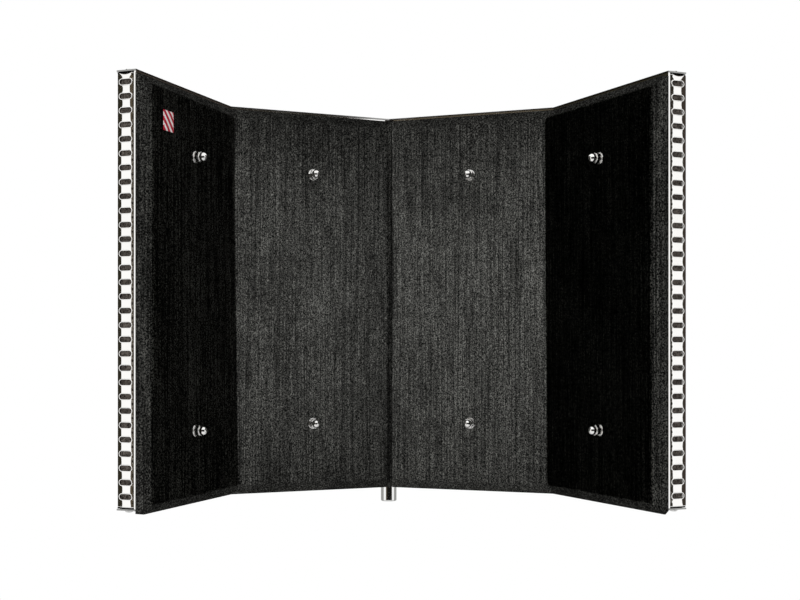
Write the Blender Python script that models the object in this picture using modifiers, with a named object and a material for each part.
"""Microphone reflection filter: a slotted metal box folded round a microphone and lined with felt.

In plan the box is half of a regular octagon: two inner and two outer facets, all alike at the rear.
Every layer takes its place from the rear face of the box and a depth in from that face. X is to
the right, Y to the rear and Z up. The origin is the centre of the mounting post's lower end.
"""
import math

import bmesh
import bpy
from mathutils import Matrix, Vector

MM = 0.001
CLEAR = 0.3 * MM

# Box
FACET_WIDTH = 211.5 * MM
FOLD = math.radians(45)
BOX_HEIGHT = 425 * MM
PLATE_THICK = 1.5 * MM
PANEL_THICK = 1.0 * MM
SHEET_THICK = 2.0 * MM
ANGLE_THICK = 1.2 * MM
ANGLE_LEG = 16 * MM

# Mounting post inside the centre fold
POST_RADIUS = 9.5 * MM
POST_WALL = 2 * MM
POST_DROP = 22 * MM
POST_SOLID_END = 12 * MM
POST_CHAMFER = 1.5 * MM
POST_ROOM = 2.2 * MM
POST_PLUG_LENGTH = 14 * MM

# Slotted end strips
STRIP_THICK = 1.2 * MM
STRIP_CORNER = 2.6 * MM
STRIP_FLANGE = 8 * MM
STRIP_END_MARGIN = 2 * MM
STRIP_SLOT_PITCH = 13.85 * MM
STRIP_SLOT_LENGTH = 13 * MM
STRIP_SLOT_HEIGHT = 5.8 * MM
STRIP_RIM = 0.6 * MM

# Perforation of the rear panels
PERF_MARGIN = 14 * MM
PERF_PITCH_ACROSS = 58 * MM
PERF_PITCH_UP = 41 * MM
PERF_SLOT_LENGTH = 40 * MM
PERF_SLOT_HEIGHT = 12 * MM
PERF_BOLT_PAD = 11 * MM

# Absorber boards inside the box
BOARD_END_GAP = 1.5 * MM
BOARD_ROD_WALL = 0.5 * MM

# Felt lining
LINER_THICK = 12.2 * MM
LINER_EDGE = 0.5 * MM
LINER_DROP = 4.7 * MM
LINER_SHORT = 3.0 * MM
SEAM_WIDTH = 7.0 * MM
SEAM_STRIP_THICK = 7.0 * MM

# Through bolts with cap nuts, one high and one low on each facet
BOLT_RADIUS = 3 * MM
BOLT_FLANGE_RADIUS = 7 * MM
BOLT_FLANGE_THICK = 1.2 * MM
BOLT_HEAD_RADIUS = 5.2 * MM
BOLT_HEAD_HEIGHT = 3.2 * MM
BOLT_FROM_EDGE = 72.5 * MM
BOLT_PLACE_INNER = 110 * MM
BOLT_PLACE_OUTER = 116.5 * MM
WASHER_RADIUS = 6.2 * MM
WASHER_THICK = 1.4 * MM
NUT_ACROSS_FLATS = 10 * MM
NUT_HEX_HEIGHT = 5.2 * MM
NUT_HEIGHT = 12 * MM
NUT_DOME_RADIUS = 4.6 * MM
NUT_ROOF = 5 * MM

# Tie rods between the plates, and the dome screws that hold the plates on them
ROD_RADIUS = 4 * MM
ROD_BESIDE_BOLT = 20.5 * MM
SCREW_RADIUS = 2 * MM
SCREW_HEAD_RADIUS = 3.8 * MM
SCREW_HEAD_HEIGHT = 2.2 * MM
SCREW_BITE = 7 * MM

# Woven tag on the left outer facet
TAG_WIDTH = 22.8 * MM
TAG_HEIGHT = 20.4 * MM
TAG_THICK = 0.8 * MM
TAG_FROM_END = 41.5 * MM
TAG_FROM_TOP = 46 * MM

# Facets of what is round
ROUND_STEPS = 12
SMALL_STEPS = 8
POST_STEPS = 32
CORNER_STEPS = 3

# The post touches both inner rear panels, which sets how far the centre fold lies behind its axis
HALF_FOLD = FOLD / 2
TILTS = (HALF_FOLD, HALF_FOLD + FOLD)
APEX = (POST_RADIUS + CLEAR + PANEL_THICK) / math.cos(HALF_FOLD)
POST_KEEP = APEX * math.sin(HALF_FOLD) + POST_RADIUS + CLEAR

# Depths of the layers
BOX_DEPTH = (APEX + POST_RADIUS + POST_ROOM) * math.cos(HALF_FOLD) - CLEAR
SHEET_DEPTH = BOX_DEPTH - SHEET_THICK
STRIP_DEPTH = SHEET_DEPTH - CLEAR
ANGLE_DEPTH = PANEL_THICK + CLEAR
BOARD_DEPTH = ANGLE_DEPTH + ANGLE_THICK + CLEAR
BOARD_FACE = STRIP_DEPTH - STRIP_THICK - CLEAR
LINER_DEPTH = BOX_DEPTH + CLEAR
LINER_FACE = LINER_DEPTH + LINER_THICK
ROD_DEPTH = STRIP_DEPTH / 2

# Heights
BOX_BOTTOM = POST_DROP
BOX_TOP = BOX_BOTTOM + BOX_HEIGHT
BOX_MIDDLE = BOX_BOTTOM + BOX_HEIGHT / 2
INSIDE_BOTTOM = BOX_BOTTOM + PLATE_THICK + CLEAR
INSIDE_TOP = BOX_TOP - PLATE_THICK - CLEAR
INSIDE_HEIGHT = INSIDE_TOP - INSIDE_BOTTOM
LINER_BOTTOM = BOX_BOTTOM - LINER_DROP
LINER_TOP = BOX_TOP - LINER_SHORT
BOLT_RISE = BOX_HEIGHT / 2 - BOLT_FROM_EDGE

# Fits
BOLT_HOLE = BOLT_RADIUS + CLEAR
SCREW_HOLE = SCREW_RADIUS + CLEAR
BOLT_PLACES = (BOLT_PLACE_INNER, BOLT_PLACE_OUTER)
BOLT_IN_NUT = NUT_HEIGHT - NUT_ROOF
NUT_SEAT = LINER_FACE + CLEAR + WASHER_THICK + CLEAR
FOLD_TRIM = PANEL_THICK * math.tan(HALF_FOLD) + CLEAR / 2
BOARD_END = FACET_WIDTH - STRIP_THICK - BOARD_END_GAP
ROD_PLACES = (
    BOLT_PLACE_INNER + ROD_BESIDE_BOLT,
    BOARD_END - BOARD_ROD_WALL - CLEAR - ROD_RADIUS)

SIDES = {"left": -1, "right": 1}
FACETS = {"inner": 0, "outer": 1}
RISES = {"low": -BOLT_RISE, "high": BOLT_RISE}

for old in list(bpy.data.objects):
    bpy.data.objects.remove(old, do_unlink=True)

parts = bpy.data.collections.new("reflection_filter")
cutters = bpy.data.collections.new("cutters")
bpy.context.scene.collection.children.link(parts)
bpy.context.scene.collection.children.link(cutters)


def material(name, color, roughness, metallic):
    made = bpy.data.materials.new(name)
    made.use_nodes = True
    shader = made.node_tree.nodes["Principled BSDF"]
    shader.inputs["Base Color"].default_value = (*color, 1)
    shader.inputs["Roughness"].default_value = roughness
    shader.inputs["Metallic"].default_value = metallic
    return made


POLISHED = material("polished_metal", (0.80, 0.80, 0.80), 0.08, 1)
ALUMINIUM = material("aluminium_sheet", (0.70, 0.71, 0.72), 0.30, 1)
STEEL = material("zinc_steel", (0.58, 0.59, 0.60), 0.35, 1)
CHROME = material("chrome", (0.86, 0.86, 0.87), 0.05, 1)
BRASS = material("brass", (0.72, 0.56, 0.27), 0.30, 1)
FELT = material("black_felt", (0.020, 0.020, 0.021), 0.95, 0)
BOARD = material("absorber_wool", (0.14, 0.11, 0.09), 0.95, 0)
TAG_CLOTH = material("red_tag", (0.55, 0.03, 0.05), 0.80, 0)


# Plan of the box: places run along a facet away from the centre, depths in from the rear face
def along(facet, side):
    return Vector((side * math.cos(TILTS[facet]), -math.sin(TILTS[facet])))


def outward(facet, side):
    return Vector((side * math.sin(TILTS[facet]), math.cos(TILTS[facet])))


def plan_point(facet, place, depth, side):
    """Point of the plan at a place along a facet and at a depth."""
    corner = Vector((0, APEX))
    if facet == FACETS["outer"]:
        corner = corner + FACET_WIDTH * along(0, side)
    return corner + place * along(facet, side) - depth * outward(facet, side)


def fold_point(depth, side):
    """Point at a depth on the line that halves the outer fold."""
    return plan_point(1, depth * math.tan(HALF_FOLD), depth, side)


def centre_point(depth, side, beside=0):
    """Point at a depth in an inner facet, on the centre plane or a little beside it."""
    return Vector((side * beside, APEX - depth / math.cos(HALF_FOLD) - beside * math.tan(HALF_FOLD)))


def mirrored(half):
    """Outline of both sides, from the right side's points that start and end on the centre plane."""
    return half + [Vector((-point.x, point.y)) for point in reversed(half[1:-1])]


def facet_frame(facet, side, place=0, rise=0, depth=0):
    """Frame on a facet with X to the viewer's right, Y up and Z forward, at a height above the
    middle of the box."""
    across = side * along(facet, side)
    forward = -outward(facet, side)
    corner = plan_point(facet, place, depth, side)
    return Matrix((
        (across.x, 0, forward.x, corner.x),
        (across.y, 0, forward.y, corner.y),
        (0, 1, 0, BOX_MIDDLE + rise),
        (0, 0, 0, 1),
    ))


def rod_points():
    """Plan of the tie rods by name."""
    points = {}
    for side_name, side in SIDES.items():
        for facet_name, facet in FACETS.items():
            points[side_name + "_" + facet_name] = plan_point(facet, ROD_PLACES[facet], ROD_DEPTH, side)
    return points


def bolt_frames(sides=SIDES, facets=FACETS):
    """Frames of the through bolts by name, at the rear face with Z along the bolt to the front."""
    frames = {}
    for side_name, side in sides.items():
        for facet_name, facet in facets.items():
            for rise_name, rise in RISES.items():
                label = "_".join((side_name, facet_name, rise_name))
                frames[label] = facet_frame(facet, side, BOLT_PLACES[facet], rise)
    return frames


# Solids
def add_object(name, mesh, finish, matrix=None):
    made = bpy.data.objects.new(name, mesh)
    made.matrix_world = matrix or Matrix()
    if not mesh.materials:
        mesh.materials.append(finish)
    parts.objects.link(made)
    return made


def add_cutter(name, mesh, matrix=None):
    made = bpy.data.objects.new(name, mesh)
    made.matrix_world = matrix or Matrix()
    made.hide_render = True
    made.display_type = "WIRE"
    cutters.objects.link(made)
    return made


def boolean(target, other, operation):
    step = target.modifiers.new(other.name, "BOOLEAN")
    step.operation = operation
    step.solver = "EXACT"
    step.object = other


def applied(made):
    """Mesh of an object with its modifiers applied; the object is removed."""
    graph = bpy.context.evaluated_depsgraph_get()
    mesh = bpy.data.meshes.new_from_object(made.evaluated_get(graph))
    bpy.data.objects.remove(made, do_unlink=True)
    shape = bmesh.new()
    shape.from_mesh(mesh)
    bmesh.ops.remove_doubles(shape, verts=shape.verts, dist=0.00001)
    shape.to_mesh(mesh)
    shape.free()
    mesh.shade_smooth()
    mesh.set_sharp_from_angle(angle=math.radians(35))
    return mesh


def slab_mesh(name, outlines, thick):
    """Slab from z 0 up, drawn as a flat curve: the first outline is its edge, the others are holes."""
    curve = bpy.data.curves.new(name, "CURVE")
    curve.dimensions = "2D"
    curve.fill_mode = "BOTH"
    curve.extrude = thick / 2
    for outline in outlines:
        spline = curve.splines.new("POLY")
        spline.points.add(len(outline) - 1)
        for point, place in zip(spline.points, outline):
            point.co = (place[0], place[1], 0, 1)
        spline.use_cyclic_u = True
    mesh = applied(add_cutter(name, curve))
    mesh.transform(Matrix.Translation((0, 0, thick / 2)))
    return mesh


def upright(name, outlines, bottom, top, finish):
    """Upright piece with one plan from bottom to top."""
    mesh = slab_mesh(name, outlines, top - bottom)
    return add_object(name, mesh, finish, Matrix.Translation((0, 0, bottom)))


def turned_mesh(name, profile, steps):
    """Piece turned round Z from (radius, height) points that run down its outer side."""
    mesh = bpy.data.meshes.new(name)
    edges = [(index, index + 1) for index in range(len(profile) - 1)]
    if profile[0][0] > 0:
        edges.append((len(profile) - 1, 0))
    mesh.from_pydata([(radius, 0, height) for radius, height in profile], edges, [])
    made = add_cutter(name, mesh)
    screw = made.modifiers.new("turn", "SCREW")
    screw.axis = "Z"
    screw.angle = math.tau
    screw.steps = steps
    screw.render_steps = steps
    screw.use_merge_vertices = True
    screw.merge_threshold = 0.00001
    return applied(made)


def circle(centre, radius, steps=SMALL_STEPS):
    """Outline whose flats touch a circle, so that what is round passes through it."""
    turns = [math.tau * (step + 0.5) / steps for step in range(steps)]
    corner = radius / math.cos(math.pi / steps)
    return [(centre[0] + corner * math.cos(turn), centre[1] + corner * math.sin(turn)) for turn in turns]


def slot(centre, length, height, steps=CORNER_STEPS):
    """Outline of a slot with round ends, each end drawn in so many steps."""
    points = []
    for end in (1, -1):
        for step in range(steps + 1):
            turn = math.pi * (step / steps - 0.5)
            across = (length - height) / 2 + height / 2 * math.cos(turn)
            points.append((centre[0] + end * across, centre[1] + end * height / 2 * math.sin(turn)))
    return points


def dome(radius, height, base, steps=CORNER_STEPS):
    """Half section of a dome on a base height, from its top down."""
    turns = [math.pi / 2 * step / steps for step in range(steps + 1)]
    return [(radius * math.sin(turn), base + height * math.cos(turn)) for turn in turns]


def drill(target, radius, frames):
    """Bore a hole through a piece along each of the bolts' frames."""
    bore = slab_mesh("bore", [circle((0, 0), radius)], 2 * LINER_FACE)
    for label, frame in frames.items():
        start = frame @ Matrix.Translation((0, 0, -LINER_FACE / 2))
        boolean(target, add_cutter(target.name + "_bore_" + label, bore, start), "DIFFERENCE")


# Sheet metal
def make_rear_panel(name, side, facet):
    """Flat perforated panel, with plain pads left round its two bolts."""
    first = FOLD_TRIM
    last = FACET_WIDTH - (FOLD_TRIM if facet == 0 else STRIP_FLANGE + CLEAR)
    half = INSIDE_HEIGHT / 2
    columns = 1 + int((last - first - 2 * PERF_MARGIN - PERF_SLOT_LENGTH) / PERF_PITCH_ACROSS)
    rows = 1 + int((INSIDE_HEIGHT - 2 * PERF_MARGIN - PERF_SLOT_HEIGHT) / PERF_PITCH_UP)
    outlines = [[(first, -half), (last, -half), (last, half), (first, half)]]
    outlines += [circle((BOLT_PLACES[facet], rise), BOLT_HOLE) for rise in RISES.values()]
    for column in range(columns):
        across = (first + last) / 2 + (column - (columns - 1) / 2) * PERF_PITCH_ACROSS
        for row in range(rows):
            up = (row - (rows - 1) / 2) * PERF_PITCH_UP
            beside = max(abs(across - BOLT_PLACES[facet]) - PERF_SLOT_LENGTH / 2, 0)
            above = max(abs(abs(up) - BOLT_RISE) - PERF_SLOT_HEIGHT / 2, 0)
            if math.hypot(beside, above) > PERF_BOLT_PAD:
                outlines.append(slot((across, up), PERF_SLOT_LENGTH, PERF_SLOT_HEIGHT))
    flat = [[(side * x, y) for x, y in outline] for outline in outlines]
    return add_object(name, slab_mesh(name, flat, PANEL_THICK), ALUMINIUM, facet_frame(facet, side))


def strip_outline(side):
    """Plan of the channel that caps a facet's end: web outside, a short flange on either side."""
    start = FACET_WIDTH - STRIP_FLANGE
    centre = FACET_WIDTH - STRIP_CORNER
    turns = [math.pi / 2 * step / CORNER_STEPS for step in range(CORNER_STEPS + 1)]
    ring = []
    for skin, radius in ((0, STRIP_CORNER), (STRIP_THICK, STRIP_CORNER - STRIP_THICK)):
        rear = [(centre + radius * math.sin(turn), STRIP_CORNER - radius * math.cos(turn)) for turn in turns]
        front = [(place, STRIP_DEPTH - depth) for place, depth in reversed(rear)]
        path = [(start, skin)] + rear + front + [(start, STRIP_DEPTH - skin)]
        ring += path if skin == 0 else path[::-1]
    return [plan_point(1, place, depth, side) for place, depth in ring]


def strip_slot_mesh():
    """Cutter for one slot, straight inside and flared at the outer face of the strip at z 0."""
    length = STRIP_SLOT_LENGTH - 2 * STRIP_RIM
    height = STRIP_SLOT_HEIGHT - 2 * STRIP_RIM
    mesh = slab_mesh("strip_slot", [slot((0, 0), length, height)], 2 * STRIP_THICK)
    mesh.transform(Matrix.Translation((0, 0, -STRIP_RIM - 2 * STRIP_THICK)))
    shape = bmesh.new()
    shape.from_mesh(mesh)
    top = [face for face in shape.faces if face.normal.z > 0.5]
    raised = bmesh.ops.extrude_face_region(shape, geom=top)["geom"]
    bmesh.ops.delete(shape, geom=top, context="FACES_KEEP_BOUNDARY")
    verts = [item for item in raised if isinstance(item, bmesh.types.BMVert)]
    bmesh.ops.scale(shape, verts=verts, vec=(1 + 4 * STRIP_RIM / length, 1 + 4 * STRIP_RIM / height, 1))
    bmesh.ops.translate(shape, verts=verts, vec=(0, 0, 2 * STRIP_RIM))
    shape.to_mesh(mesh)
    shape.free()
    return mesh


def make_end_strip(name, side):
    """Channel punched with a column of slots."""
    strip = upright(name, [strip_outline(side)], INSIDE_BOTTOM, INSIDE_TOP, POLISHED)
    count = int((INSIDE_HEIGHT - 2 * STRIP_END_MARGIN) / STRIP_SLOT_PITCH)
    outside = along(1, side)
    across = outward(1, side)
    middle = plan_point(1, FACET_WIDTH, STRIP_DEPTH / 2, side)
    frame = Matrix((
        (across.x, 0, outside.x, middle.x),
        (across.y, 0, outside.y, middle.y),
        (0, 1, 0, BOX_MIDDLE - (count - 1) / 2 * STRIP_SLOT_PITCH),
        (0, 0, 0, 1),
    ))
    slots = add_cutter(name + "_slots", strip_slot_mesh(), frame)
    row = slots.modifiers.new("column", "ARRAY")
    row.count = count
    row.use_relative_offset = False
    row.use_constant_offset = True
    row.constant_offset_displace = (0, STRIP_SLOT_PITCH, 0)
    boolean(strip, slots, "DIFFERENCE")
    return strip


def make_corner_angle(name, side):
    """Folded strip that backs the joint between two rear panels."""
    front = ANGLE_DEPTH + ANGLE_THICK
    outline = [
        plan_point(0, FACET_WIDTH - ANGLE_LEG, ANGLE_DEPTH, side), fold_point(ANGLE_DEPTH, side),
        plan_point(1, ANGLE_LEG, ANGLE_DEPTH, side), plan_point(1, ANGLE_LEG, front, side),
        fold_point(front, side), plan_point(0, FACET_WIDTH - ANGLE_LEG, front, side)]
    return upright(name, [outline], INSIDE_BOTTOM, INSIDE_TOP, STEEL)


def make_front_sheet(name, side):
    """Sheet that carries the felt; its bright edge shows beside the end strip."""
    back = SHEET_DEPTH
    front = BOX_DEPTH
    outline = [
        plan_point(0, POST_KEEP, back, side), fold_point(back, side), plan_point(1, FACET_WIDTH, back, side),
        plan_point(1, FACET_WIDTH, front, side), fold_point(front, side), plan_point(0, POST_KEEP, front, side)]
    sheet = upright(name, [outline], INSIDE_BOTTOM, INSIDE_TOP, ALUMINIUM)
    drill(sheet, BOLT_HOLE, bolt_frames({name: side}))
    return sheet


def make_plate(name, bottom, centre_hole, steps):
    """Flat plate that closes the box, drilled for its screws and for what passes its centre."""
    half = [
        centre_point(0, 1), fold_point(0, 1), plan_point(1, FACET_WIDTH, 0, 1),
        plan_point(1, FACET_WIDTH, BOX_DEPTH, 1), fold_point(BOX_DEPTH, 1), centre_point(BOX_DEPTH, 1)]
    holes = [circle(point, SCREW_HOLE) for point in rod_points().values()]
    holes.append(circle((0, 0), centre_hole, steps))
    return upright(name, [mirrored(half)] + holes, bottom, bottom + PLATE_THICK, ALUMINIUM)


# Soft pieces
def make_board(name, side, facet):
    """Absorber board, cut back at the post or mitred at the fold, with bores for rod and bolts."""
    mitre = math.tan(HALF_FOLD)
    ends = []
    for depth in (BOARD_DEPTH, BOARD_FACE):
        if facet == 0:
            ends.append((POST_KEEP, FACET_WIDTH - mitre * depth - CLEAR / 2))
        else:
            ends.append((mitre * depth + CLEAR / 2, BOARD_END))
    outline = [
        plan_point(facet, ends[0][0], BOARD_DEPTH, side), plan_point(facet, ends[0][1], BOARD_DEPTH, side),
        plan_point(facet, ends[1][1], BOARD_FACE, side), plan_point(facet, ends[1][0], BOARD_FACE, side)]
    rod = plan_point(facet, ROD_PLACES[facet], ROD_DEPTH, side)
    bores = [circle(rod, ROD_RADIUS + CLEAR)]
    board = upright(name, [outline] + bores, INSIDE_BOTTOM, INSIDE_TOP, BOARD)
    drill(board, BOLT_HOLE, bolt_frames({name: side}, {"facet": facet}))
    return board


def felt_mesh(name, back, front, thick, cut_end):
    """Upright felt from its back and front points, with the front edges cut back at 45 degrees at
    the top and bottom, and at the first front point too where that is an open end."""
    shape = bmesh.new()
    low = [shape.verts.new((point.x, point.y, LINER_BOTTOM)) for point in back + front]
    raised = bmesh.ops.extrude_face_region(shape, geom=[shape.faces.new(low)])["geom"]
    high = [item for item in raised if isinstance(item, bmesh.types.BMVert)]
    bmesh.ops.translate(shape, verts=high, vec=(0, 0, LINER_TOP - LINER_BOTTOM))
    bmesh.ops.recalc_face_normals(shape, faces=shape.faces)
    rim = []
    for edge in shape.edges:
        first, second = [vert.co.xy for vert in edge.verts]
        level = (first - second).length > CLEAR
        faces_front = all(min((end - point).length for point in front) < CLEAR for end in (first, second))
        if (level and faces_front) or (not level and cut_end and (first - front[0]).length < CLEAR):
            rim.append(edge)
    bmesh.ops.bevel(
        shape, geom=rim, offset=thick - LINER_EDGE, offset_type="OFFSET", segments=1, profile=0.5,
        affect="EDGES", clamp_overlap=False, material=-1)
    mesh = bpy.data.meshes.new(name)
    shape.to_mesh(mesh)
    shape.free()
    return mesh


def make_liner(name, side):
    """Half of the lining: one mat folded round the outer fold."""
    back = [
        centre_point(LINER_DEPTH, side, SEAM_WIDTH / 2), fold_point(LINER_DEPTH, side),
        plan_point(1, FACET_WIDTH, LINER_DEPTH, side)]
    front = [
        plan_point(1, FACET_WIDTH, LINER_FACE, side), fold_point(LINER_FACE, side),
        centre_point(LINER_FACE, side, SEAM_WIDTH / 2)]
    liner = add_object(name, felt_mesh(name, back, front, LINER_THICK, True), FELT)
    drill(liner, BOLT_HOLE, bolt_frames({name: side}))
    return liner


def make_seam_strip(name):
    """Narrow strip of felt sunk between the two halves of the lining."""
    beside = SEAM_WIDTH / 2 - CLEAR
    ends = ((-1, beside), (1, 0), (1, beside))
    back = [centre_point(LINER_DEPTH, side, shift) for side, shift in ends]
    front = [centre_point(LINER_DEPTH + SEAM_STRIP_THICK, side, shift) for side, shift in reversed(ends)]
    return add_object(name, felt_mesh(name, back, front, SEAM_STRIP_THICK, False), FELT)


def make_face_tag(name):
    """Small woven tag on the left outer facet."""
    rise = BOX_HEIGHT / 2 - TAG_FROM_TOP
    place = FACET_WIDTH - TAG_FROM_END
    half_width = TAG_WIDTH / 2
    half_height = TAG_HEIGHT / 2
    corners = [
        (-half_width, -half_height), (half_width, -half_height),
        (half_width, half_height), (-half_width, half_height)]
    mesh = slab_mesh(name, [corners], TAG_THICK)
    return add_object(name, mesh, TAG_CLOTH, facet_frame(1, -1, place, rise, LINER_FACE + CLEAR))


# Turned pieces
def bolt_mesh():
    """Bolt with a flanged dome head behind the rear face and a shank that ends in the cap nut."""
    seat = -CLEAR
    flange = seat - BOLT_FLANGE_THICK
    tip = NUT_SEAT + BOLT_IN_NUT
    head = [(radius, 2 * flange - height) for radius, height in dome(BOLT_HEAD_RADIUS, BOLT_HEAD_HEIGHT, flange)]
    profile = [
        (0, tip), (BOLT_RADIUS, tip), (BOLT_RADIUS, seat),
        (BOLT_FLANGE_RADIUS, seat), (BOLT_FLANGE_RADIUS, flange)] + head[::-1]
    return turned_mesh("through_bolt", profile, ROUND_STEPS)


def washer_mesh():
    low = LINER_FACE + CLEAR
    high = low + WASHER_THICK
    profile = [(WASHER_RADIUS, high), (WASHER_RADIUS, low), (BOLT_HOLE, low), (BOLT_HOLE, high)]
    return turned_mesh("washer", profile, ROUND_STEPS)


def cap_nut_mesh():
    """Hexagon with a rounded cap and a blind bore."""
    hexagon = circle((0, 0), NUT_ACROSS_FLATS / 2, 6)
    nut = add_cutter("nut_hexagon", slab_mesh("nut_hexagon", [hexagon], NUT_HEX_HEIGHT))
    profile = dome(NUT_DOME_RADIUS, NUT_DOME_RADIUS, NUT_HEIGHT - NUT_DOME_RADIUS)
    profile += [(NUT_DOME_RADIUS, NUT_HEX_HEIGHT / 2), (0, NUT_HEX_HEIGHT / 2)]
    cap = add_cutter("nut_cap", turned_mesh("nut_cap", profile, ROUND_STEPS))
    depth = BOLT_IN_NUT + CLEAR
    bore_mesh = slab_mesh("nut_bore", [circle((0, 0), BOLT_HOLE)], depth + NUT_HEX_HEIGHT)
    bore = add_cutter("nut_bore", bore_mesh, Matrix.Translation((0, 0, -NUT_HEX_HEIGHT)))
    boolean(nut, cap, "UNION")
    boolean(nut, bore, "DIFFERENCE")
    mesh = applied(nut)
    for used in (cap, bore):
        bpy.data.objects.remove(used, do_unlink=True)
    mesh.transform(Matrix.Translation((0, 0, NUT_SEAT)))
    return mesh


def plate_screw_mesh():
    """Dome screw for a plate whose face is at z 0."""
    profile = dome(SCREW_HEAD_RADIUS, SCREW_HEAD_HEIGHT, CLEAR)
    profile += [(SCREW_RADIUS, CLEAR), (SCREW_RADIUS, -PLATE_THICK - SCREW_BITE), (0, -PLATE_THICK - SCREW_BITE)]
    return turned_mesh("plate_screw", profile, SMALL_STEPS)


def tie_rod_mesh():
    """Round bar from plate to plate, bored at both ends for the plate screws."""
    bore = SCREW_BITE + CLEAR
    profile = [
        (0, INSIDE_HEIGHT - bore), (SCREW_HOLE, INSIDE_HEIGHT - bore), (SCREW_HOLE, INSIDE_HEIGHT),
        (ROD_RADIUS, INSIDE_HEIGHT), (ROD_RADIUS, 0), (SCREW_HOLE, 0), (SCREW_HOLE, bore), (0, bore)]
    return turned_mesh("tie_rod", profile, ROUND_STEPS)


def make_post(name):
    """Chromed tube inside the centre fold; the stand's clamp grips its solid lower end."""
    bore = POST_RADIUS - POST_WALL
    profile = [
        (0, POST_SOLID_END), (bore, POST_SOLID_END), (bore, INSIDE_TOP), (POST_RADIUS, INSIDE_TOP),
        (POST_RADIUS, POST_CHAMFER), (POST_RADIUS - POST_CHAMFER, 0), (0, 0)]
    return add_object(name, turned_mesh(name, profile, POST_STEPS), CHROME)


def make_post_plug(name):
    """Threaded plug in the post's upper end, for the centre screw of the top plate."""
    radius = POST_RADIUS - POST_WALL - CLEAR
    floor = INSIDE_TOP - SCREW_BITE - CLEAR
    profile = [
        (0, floor), (SCREW_HOLE, floor), (SCREW_HOLE, INSIDE_TOP), (radius, INSIDE_TOP),
        (radius, INSIDE_TOP - POST_PLUG_LENGTH), (0, INSIDE_TOP - POST_PLUG_LENGTH)]
    return add_object(name, turned_mesh(name, profile, ROUND_STEPS), BRASS)


for side_name, side_sign in SIDES.items():
    for facet_name, facet_index in FACETS.items():
        place_name = side_name + "_" + facet_name
        make_rear_panel("rear_panel_" + place_name, side_sign, facet_index)
        make_board("absorber_board_" + place_name, side_sign, facet_index)
    make_end_strip("end_strip_" + side_name, side_sign)
    make_corner_angle("corner_angle_" + side_name, side_sign)
    make_front_sheet("front_sheet_" + side_name, side_sign)
    make_liner("liner_" + side_name, side_sign)

make_plate("top_plate", BOX_TOP - PLATE_THICK, SCREW_HOLE, SMALL_STEPS)
make_plate("bottom_plate", BOX_BOTTOM, POST_RADIUS + CLEAR, POST_STEPS)
make_seam_strip("liner_seam_strip")
make_face_tag("face_tag")
make_post("mounting_post")
make_post_plug("post_plug")

bolt = bolt_mesh()
washer = washer_mesh()
cap_nut = cap_nut_mesh()
for place_name, bolt_frame in bolt_frames().items():
    add_object("through_bolt_" + place_name, bolt, CHROME, bolt_frame)
    add_object("washer_" + place_name, washer, CHROME, bolt_frame)
    add_object("cap_nut_" + place_name, cap_nut, CHROME, bolt_frame)

screw = plate_screw_mesh()
rod = tie_rod_mesh()
for place_name, plan in rod_points().items():
    base = Matrix.Translation((plan.x, plan.y, BOX_BOTTOM))
    add_object("tie_rod_" + place_name, rod, STEEL, base @ Matrix.Translation((0, 0, INSIDE_BOTTOM - BOX_BOTTOM)))
    add_object("top_screw_" + place_name, screw, CHROME, base @ Matrix.Translation((0, 0, BOX_HEIGHT)))
    add_object("bottom_screw_" + place_name, screw, CHROME, base @ Matrix.Rotation(math.pi, 4, "X"))
add_object("top_screw_centre", screw, CHROME, Matrix.Translation((0, 0, BOX_TOP)))
